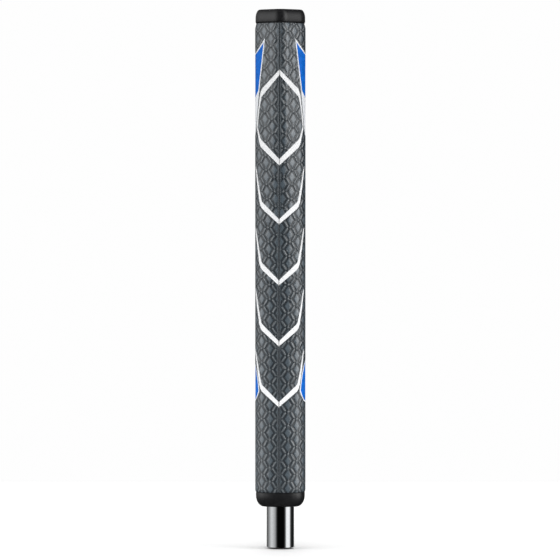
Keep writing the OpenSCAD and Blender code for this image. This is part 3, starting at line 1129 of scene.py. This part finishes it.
def build_butt_cap(material):
    """Butt cap: rounded top with an air hole, spigot below."""
    rings = cap_outside(BUTT_Z, SKIN_Z1, *BUTT_EDGE)
    rim = rings[-1]
    profile = [
        (BUTT_Z, VENT_R + 0.35), (BUTT_Z - 0.12, VENT_R + 0.1), (BUTT_Z - 0.4, VENT_R),
        (SKIN_Z1, VENT_R), (SKIN_Z1, BORE_R), (SPIGOT_Z0, BORE_R), (SPIGOT_Z0, SPIGOT_R),
        (SKIN_Z1, SPIGOT_R),
    ]
    inner = [circle_ring(z, radius, rim) for z, radius in profile]
    rings += [between(rim, inner[0], share) for share in (0.15, 0.35, 0.6, 0.85)]
    place_cap("butt_cap", rings + inner, material)


def build_mouth_cap(material):
    """Mouth cap: rounded under to a flat ring round the shaft, spigot above."""
    rings = cap_outside(MOUTH_Z, SKIN_Z0, *MOUTH_EDGE)
    rim = rings[-1]
    slip_r = SHAFT_R + SLIP
    rings.append(between(rim, circle_ring(MOUTH_Z, slip_r, rim), 0.5))
    profile = [
        (MOUTH_Z, slip_r + 0.25), (MOUTH_Z + 0.2, slip_r), (MOUTH_Z + 1, slip_r),
        (MOUTH_Z + 1, BORE_R), (SPIGOT_Z1, BORE_R), (SPIGOT_Z1, SPIGOT_R), (SKIN_Z0, SPIGOT_R),
    ]
    rings += [circle_ring(z, radius, rim) for z, radius in profile]
    place_cap("mouth_cap", [ring[::-1] for ring in rings], material)


def build_shaft(material):
    """Chromed tube with a lightly broken edge at its cut end."""
    inner, broken = SHAFT_R - SHAFT_WALL, BROKEN_EDGE
    profile = [
        (SHAFT_R, SHAFT_TOP), (SHAFT_R, SHAFT_TOP / 2), (SHAFT_R, 30), (SHAFT_R, 4),
        (SHAFT_R, broken), (SHAFT_R - broken / 3, broken / 3), (SHAFT_R - broken, 0),
        (inner + broken, 0), (inner, broken), (inner, SHAFT_TOP / 2), (inner, SHAFT_TOP),
    ]
    turn = np.arange(SHAFT_POINTS) / SHAFT_POINTS * 2 * math.pi
    x, y = np.cos(turn), np.sin(turn)
    rings = [columns(r * x, r * y, z)[::-1] for r, z in profile]
    shaft = ring_stack("chromed_shaft", rings, material, (0, 4, 6, 7, 8, 10))
    place(shaft, "shaft_tube")


# Looks of the hidden nodes: name, darkest and lightest tone, texture scale, least roughness
HIDDEN = {
    "grip_tape": ("tape paper", (0.42, 0.33, 0.20), (0.62, 0.52, 0.36), (900, 900, 250), 0.7),
    "foam_core": ("eva foam", (0.03, 0.03, 0.032), (0.07, 0.07, 0.075), (1400,) * 3, 0.75),
    "felt_backing": ("felt", (0.45, 0.45, 0.44), (0.66, 0.66, 0.64), (1500, 1500, 600), 0.85),
}


def dress_hidden_nodes():
    """The inner CAD nodes stay, with materials of their own."""
    for node, look in HIDDEN.items():
        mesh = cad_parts[node].data
        mesh.materials.clear()
        mesh.materials.append(fibre_material(*look))


# ---- studio

# The environment's brightness by direction round the object, in degrees from the camera's
# side, + towards +X: a dark gap at the camera between a wide left and a bright right panel
AROUND = [
    (-180, 0.15), (-160, 0.15), (-132, 0.33), (-114, 0.64), (-100, 1.05), (-88, 1.5), (-77, 1.7),
    (-67, 1.5), (-57, 1.27), (-48, 0.98), (-39, 0.55), (-31, 0.10), (-24, 0.005), (28, 0.005),
    (37, 0.04), (46, 0.65), (51, 2.0), (54, 2.5), (82, 2.5), (88, 1.4), (94, 0.45), (105, 0.03),
    (128, 0.017), (150, 0.1), (180, 0.15),
]
BRIGHTEST = 2.5
# Share of that brightness, from straight down at 0 to straight up at 1
BY_HEIGHT = [
    (0.0, 0.02), (0.25, 0.03), (0.38, 0.25), (0.46, 0.85), (0.5, 1.0), (0.66, 1.0), (0.8, 0.45),
    (0.92, 0.1), (1.0, 0.08),
]
BACKDROP = (0.99, 0.99, 0.99, 1)
# Diffuse fills as (name, azimuth, elevation, strength, spread)
FILLS = (
    ("front fill", 0, 15, 1.15, 60),
    ("back fill", 180, 25, 1.2, 60),
    ("top fill", 0, 85, 2.2, 60),
)
# The camera's place and target, in metres, and its focal length in millimetres
CAMERA_AT = (-0.00019, -2.14, 0.203)
TARGET = (-0.00019, 0, 0.14375)
FOCAL_LENGTH = 255.92
# The floor's height and half its width, in metres
FLOOR_Z = -0.0008
FLOOR_HALF = 0.45


def math_result(tree, kind, first, second):
    """Result of a math node. Each of first and second is a socket or a number."""
    node = add(tree, "ShaderNodeMath", operation=kind)
    feed(node.inputs[0], first)
    feed(node.inputs[1], second)
    return node.outputs[0]


def spread_out(tree, value, low, high):
    """A value's place between low and high, from 0 to 1."""
    node = add(tree, "ShaderNodeMapRange", Value=value, From_Min=low, From_Max=high)
    return node.outputs["Result"]


def soft_panels(tree):
    """Background shader that is a ring of soft panels round the object."""
    where = add(tree, "ShaderNodeTexCoord").outputs["Generated"]
    direction = add(tree, "ShaderNodeSeparateXYZ", Vector=where).outputs
    towards = math_result(tree, "MULTIPLY", direction["Y"], -1)
    turn = math_result(tree, "ARCTAN2", direction["X"], towards)
    stops = [((degrees + 180) / 360, value / BRIGHTEST) for degrees, value in AROUND]
    panels = ramp(tree, spread_out(tree, turn, -math.pi, math.pi), stops)
    fall = ramp(tree, spread_out(tree, direction["Z"], -1, 1), BY_HEIGHT)
    power = math_result(tree, "MULTIPLY", fall, BRIGHTEST)
    return add(tree, "ShaderNodeBackground", Color=panels, Strength=power).outputs[0]


def build_world():
    """White to the camera, and the soft panels to everything else."""
    world = bpy.data.worlds.new("studio")
    bpy.context.scene.world = world
    world.use_nodes = True
    tree = world.node_tree
    tree.nodes.clear()
    seen = add(tree, "ShaderNodeLightPath").outputs["Is Camera Ray"]
    mix = add(tree, "ShaderNodeMixShader", Fac=seen)
    feed(mix.inputs[1], soft_panels(tree))
    feed(mix.inputs[2], add(tree, "ShaderNodeBackground", Color=BACKDROP).outputs[0])
    add(tree, "ShaderNodeOutputWorld", Surface=mix.outputs[0])


def fill_light(name, azimuth, elevation, strength, spread):
    """Broad sun that only lights diffusely. Its angles are in degrees, as for AROUND."""
    data = bpy.data.lights.new(name, "SUN")
    data.energy, data.angle = strength, math.radians(spread)
    lamp = in_scene(name, data)
    a, e = math.radians(azimuth), math.radians(elevation)
    back = Vector((math.sin(a) * math.cos(e), -math.cos(a) * math.cos(e), math.sin(e)))
    lamp.rotation_euler = back.to_track_quat("Z", "Y").to_euler()
    lamp.visible_glossy = False


def build_floor():
    """Plain pale floor just under the shaft's cut end."""
    mesh = bpy.data.meshes.new("floor")
    signs = ((-1, -1), (1, -1), (1, 1), (-1, 1))
    corners = [(x * FLOOR_HALF, y * FLOOR_HALF, FLOOR_Z) for x, y in signs]
    mesh.from_pydata(corners, [], [(0, 1, 2, 3)])
    material, tree = new_material("pale floor")
    set_surface(tree, Base_Color=(0.95, 0.95, 0.95, 1), Roughness=1.0)
    mesh.materials.append(material)
    floor = in_scene("floor", mesh)
    floor.visible_glossy = False


def build_camera():
    """Long lens a little above the middle of the grip, looking slightly down."""
    data = bpy.data.cameras.new("camera")
    data.lens, data.sensor_width = FOCAL_LENGTH, 36
    data.clip_start, data.clip_end = 0.1, 20
    camera = in_scene("camera", data)
    camera.location = CAMERA_AT
    ahead = Vector(TARGET) - camera.location
    camera.rotation_euler = ahead.to_track_quat("-Z", "Y").to_euler()
    bpy.context.scene.camera = camera


def main():
    """Builds every piece, the studio and the camera."""
    rubber = rubber_material()
    paints = (
        paint_material("white paint", (0.86, 0.87, 0.89), (0.92, 0.93, 0.94), 0.32, 0.5),
        paint_material("pale paint", (0.84, 0.87, 0.91), (0.90, 0.92, 0.95), 0.32, 0.5),
        paint_material("blue paint", (0.002, 0.125, 0.55), (0.004, 0.155, 0.68), 0.35, 0.15),
    )
    build_sheet(leather_material(), paints)
    build_seam(seam_material())
    build_butt_cap(rubber)
    build_mouth_cap(rubber)
    build_shaft(chrome_material())
    dress_hidden_nodes()
    build_world()
    for fill in FILLS:
        fill_light(*fill)
    build_floor()
    build_camera()
    bpy.context.scene.view_settings.view_transform = "Standard"


main()
